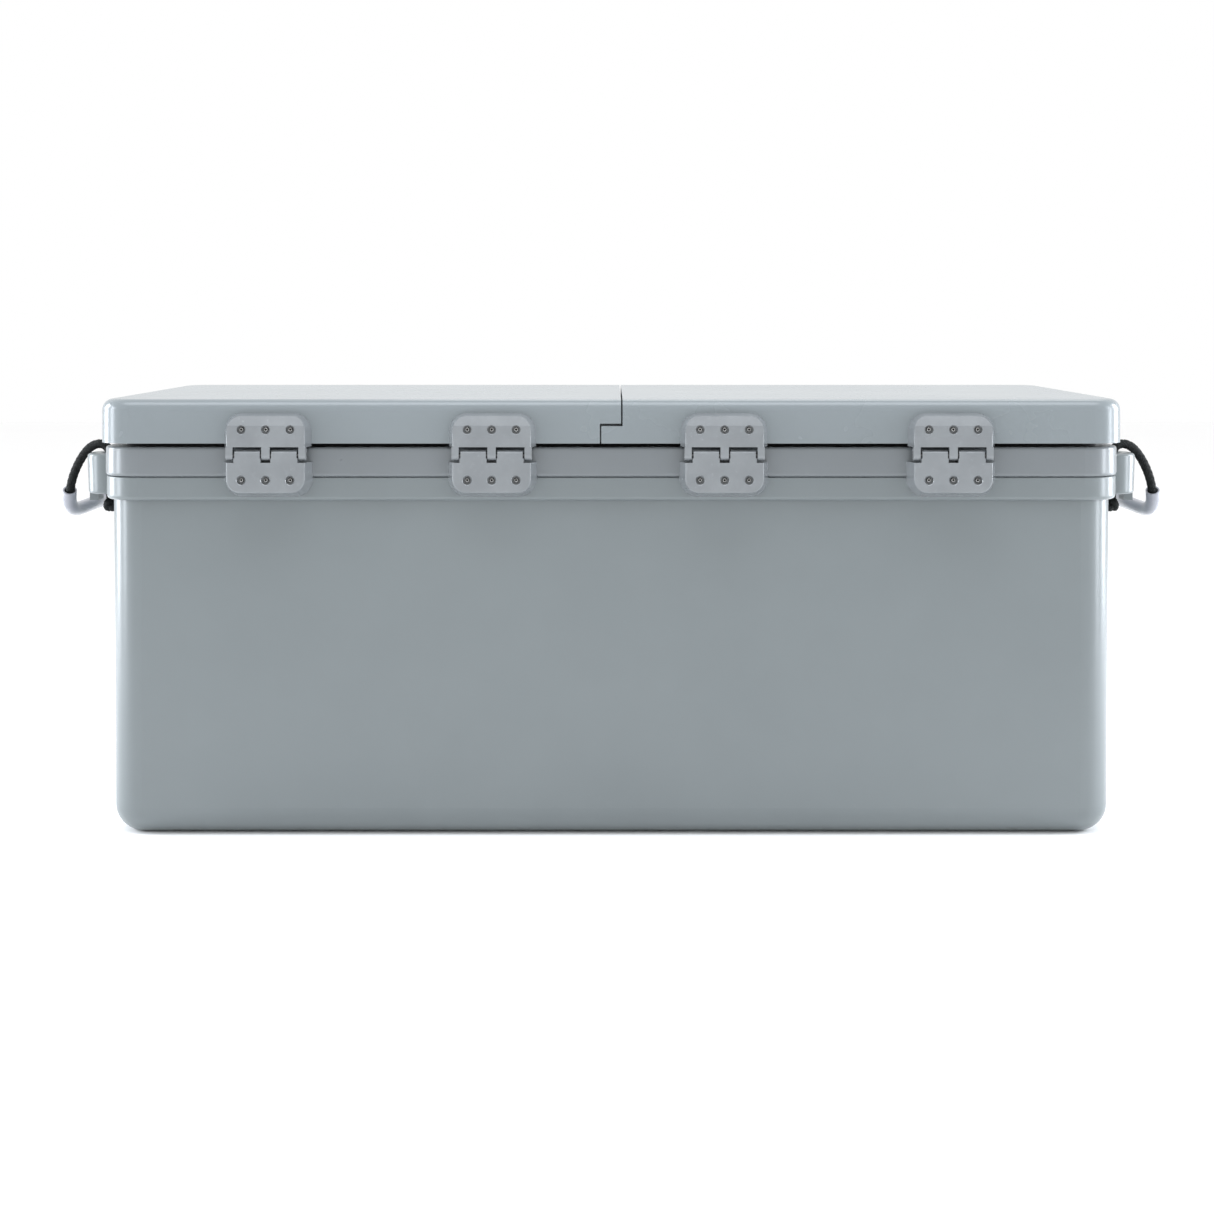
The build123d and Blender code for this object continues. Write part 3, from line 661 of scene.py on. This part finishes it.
def stopper_knot(side, end):
    """Line of an overhand stopper under a lug, with its short neck."""
    centre = Vector(KNOT_MIDDLE) * Vector((side, end, 1))
    line = []
    for i in range(KNOT_STEPS + 1):
        t = math.tau * (0.04 + 0.92 * i / KNOT_STEPS)
        x = math.sin(t) + 2 * math.sin(2 * t)
        y = math.cos(t) - 2 * math.cos(2 * t)
        z = -math.sin(3 * t)
        line.append(centre + Vector((side * x * 0.0019, y * 0.0022, z * 0.0036)))
    top = Vector(KNOT_MOUTH) * Vector((side, end, 1))
    return [top + Vector((0, 0, KNOT_NECK)), top, *line]


for side_name, side in (("left", -1), ("right", 1)):
    half = [Vector((side * x, y, z)) for x, y, z in ROPE_ROUTE]
    route = half + [Vector((p.x, -p.y, p.z)) for p in reversed(half)]
    rope, line = braid(
        f"{side_name}_braided_rope", centreline(route), ROPE_DIAMETER / 2, YARN
    )
    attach(rope, f"{side_name}_handle")
    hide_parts(f"{side_name}_handle_rope")
    for end_name, end in (("front", -1), ("rear", 1)):
        knot, _ = braid(
            f"{side_name}_{end_name}_stopper_knot",
            stopper_knot(side, end),
            KNOT_ROPE_RADIUS,
            YARN,
        )
        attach(knot, "tub")
        if end > 0:
            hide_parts(f"{side_name}_rope_knots")

# Floor and light ------------------------------------------------------------------------
ground = Finish("studio_floor", 0.9)
shade = ground.noise(1.5, 2.0, 0.5)
ground.wear(Base_Color=ground.tint(shade, (0.97, 0.97, 0.97), (0.985, 0.985, 0.985)))
FLOOR_HALF = 9.0
floor = new_piece(
    "studio_floor",
    [(x * FLOOR_HALF, y * FLOOR_HALF, 0) for x, y in ((-1, -1), (1, -1), (1, 1), (-1, 1))],
    [(0, 1, 2, 3)],
    ground.material,
    smooth=False,
)

world = bpy.data.worlds.new("studio")
bpy.context.scene.world = world
world.use_nodes = True
backing = world.node_tree.nodes["Background"]
backing.inputs["Color"].default_value = (1.0, 1.0, 1.0, 1.0)
backing.inputs["Strength"].default_value = 1.0


def softbox(name, place, target, width, height, power, colour=(1, 1, 1)):
    """Rectangular studio light aimed at a point."""
    lamp = bpy.data.lights.new(name, "AREA")
    lamp.shape = "RECTANGLE"
    lamp.size = width
    lamp.size_y = height
    lamp.energy = power
    lamp.color = colour
    holder = bpy.data.objects.new(name, lamp)
    holder.location = place
    aim = Vector(target) - Vector(place)
    holder.rotation_euler = aim.to_track_quat("-Z", "Y").to_euler()
    bpy.context.scene.collection.objects.link(holder)


COOL = (0.88, 0.93, 1.0)
softbox("top_softbox", (0.0, 0.9, 2.9), (0, 0.2, 0.4), 3.2, 1.4, 50, COOL)
for side_name, side in (("left", 1), ("right", -1)):
    softbox(f"{side_name}_strip", (side * 2.7, -0.5, 0.8), (side * 0.4, 0, 0.25), 0.8, 1.8, 60, COOL)
    softbox(f"{side_name}_card", (side * 2.7, 0.8, 0.7), (0, 0.26, 0.4), 0.5, 1.6, 30, COOL)
softbox("front_fill", (-0.6, -2.4, 3.4), (0, 0, 0.2), 2.6, 1.4, 22)

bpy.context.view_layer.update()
